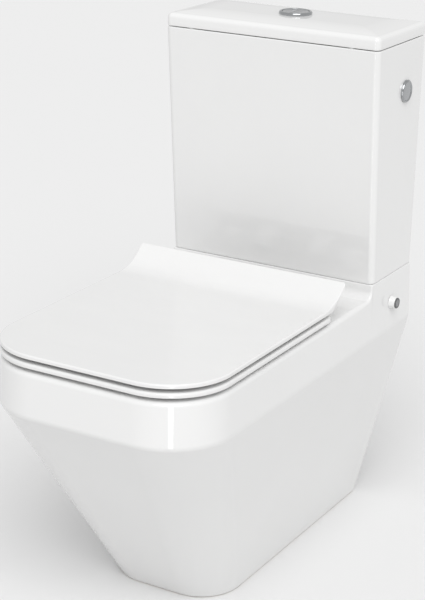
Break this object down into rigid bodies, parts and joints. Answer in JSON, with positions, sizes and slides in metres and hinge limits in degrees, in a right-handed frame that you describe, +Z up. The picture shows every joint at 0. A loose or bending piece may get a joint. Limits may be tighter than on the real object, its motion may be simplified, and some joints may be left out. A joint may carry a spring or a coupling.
{
  "type": "close coupled toilet",
  "caption": "Close coupled toilet: floor-standing pan with open back, soft-close seat and lid, slim lid, ceramic cistern with dual flush button, flush and fill valves.",
  "frame": {"origin": "on the floor, midway between the wall and the front of the pan, on the centre line", "axes": "+Z up, +Y towards the wall, +X to the right for someone facing the toilet"},
  "size_m": [0.3884, 0.672, 0.8125],
  "materials": {
    "glazed_china": "gloss",
    "seat_plastic": "gloss",
    "button_chrome": "polished",
    "fitting_chrome": "polished",
    "cap_plastic": "satin",
    "collar_plastic": "gloss",
    "steel": "satin",
    "spring_steel": "satin",
    "valve_plastic": "satin",
    "moving_plastic": "satin",
    "float_plastic": "satin",
    "black_rubber": "matte",
    "seal_silicone": "matte",
    "clear_bumper": "matte",
    "damper_plastic": "satin"
  },
  "bodies": {
    "base": {"pan": "glazed_china", "cistern": "glazed_china", "flush_valve_body": "valve_plastic", "valve_base_gasket": "black_rubber", "valve_backnut": "valve_plastic", "coupling_gasket": "black_rubber", "rocker_pins": "steel", "coupling_bolts": "steel", "bolt_rubber_washers": "black_rubber", "bolt_steel_washers": "steel", "wing_nuts": "steel", "fill_valve_body": "valve_plastic", "fill_valve_washer": "black_rubber", "fill_valve_nut": "valve_plastic", "lever_pin": "steel", "inlet_blank_cap": "fitting_chrome", "inlet_blank_washer": "black_rubber", "inlet_blank_nut": "valve_plastic", "side_fixing_collars": "collar_plastic", "side_fixing_caps": "cap_plastic", "side_fixing_screws": "steel", "fixing_brackets": "steel", "hinge_posts": "fitting_chrome", "hinge_studs": "steel", "hinge_bushes": "black_rubber", "hinge_nuts": "steel"},
    "cistern_lid": {"cistern_lid": "glazed_china", "lid_buffers": "clear_bumper", "button_bezel": "button_chrome", "bezel_nut": "valve_plastic", "full_button_spring": "spring_steel", "half_button_spring": "spring_steel"},
    "full_button": {"full_flush_button": "button_chrome", "full_push_rod": "valve_plastic"},
    "half_button": {"half_flush_button": "button_chrome", "half_push_rod": "valve_plastic"},
    "flush_tube": {"overflow_tube": "valve_plastic", "flush_seal": "seal_silicone"},
    "full_rocker": {"full_flush_rocker": "moving_plastic"},
    "half_rocker": {"half_flush_rocker": "moving_plastic"},
    "half_float": {"half_flush_float": "moving_plastic"},
    "fill_float": {"fill_valve_float": "float_plastic", "float_rod": "steel"},
    "lever": {"float_lever": "moving_plastic"},
    "seat_ring": {"seat_ring": "seat_plastic", "ring_bumpers": "clear_bumper", "ring_damper": "damper_plastic", "ring_hinge_pin": "steel"},
    "seat_lid": {"seat_lid": "seat_plastic", "lid_bumpers": "clear_bumper", "lid_damper": "damper_plastic", "lid_hinge_pin": "steel"}
  },
  "joints": [
    {"name": "seat_ring_hinge", "type": "hinge", "parent": "base", "child": "seat_ring", "pos_m": [0, 0.122, 0.425], "axis": [1, 0, 0], "range_deg": [-95, 0]},
    {"name": "seat_lid_hinge", "type": "hinge", "parent": "seat_ring", "child": "seat_lid", "pos_m": [0, 0.122, 0.425], "axis": [-1, 0, 0], "range_deg": [0, 95]},
    {"name": "cistern_lid_lift", "type": "slide", "parent": "base", "child": "cistern_lid", "axis": [0, 0, 1], "range_m": [0, 0.15]},
    {"name": "full_flush_press", "type": "slide", "parent": "cistern_lid", "child": "full_button", "axis": [0, 0, -1], "range_m": [0, 0.008], "stiffness_N_per_m": 150, "springref_m": -0.01, "deforming": ["full_button_spring"]},
    {"name": "half_flush_press", "type": "slide", "parent": "cistern_lid", "child": "half_button", "axis": [0, 0, -1], "range_m": [0, 0.008], "stiffness_N_per_m": 150, "springref_m": -0.01, "deforming": ["half_button_spring"]},
    {"name": "flush_valve_lift", "type": "slide", "parent": "base", "child": "flush_tube", "axis": [0, 0, 1], "range_m": [0, 0.008]},
    {"name": "full_rocker_turn", "type": "hinge", "parent": "base", "child": "full_rocker", "pos_m": [0.0215, 0.256, 0.6555], "axis": [1, 0, 0], "range_deg": [0, 35]},
    {"name": "half_rocker_turn", "type": "hinge", "parent": "base", "child": "half_rocker", "pos_m": [-0.0215, 0.256, 0.6555], "axis": [1, 0, 0], "range_deg": [0, 35]},
    {"name": "half_float_lift", "type": "slide", "parent": "base", "child": "half_float", "axis": [0, 0, 1], "range_m": [0, 0.008]},
    {"name": "fill_float_slide", "type": "slide", "parent": "base", "child": "fill_float", "axis": [0, 0, 1], "range_m": [0, 0.012]},
    {"name": "float_lever_turn", "type": "hinge", "parent": "base", "child": "lever", "pos_m": [-0.13638, 0.274, 0.7295], "axis": [0, -1, 0], "range_deg": [0, 24]}
  ],
  "couplings": [
    {"joint": "flush_valve_lift", "follows": "full_flush_press", "ratio": 1},
    {"joint": "full_rocker_turn", "follows": "full_flush_press", "rad_per_m": 76},
    {"joint": "half_rocker_turn", "follows": "half_flush_press", "rad_per_m": 76},
    {"joint": "half_float_lift", "follows": "half_flush_press", "ratio": 1},
    {"joint": "float_lever_turn", "follows": "fill_float_slide", "rad_per_m": 34.3}
  ]
}
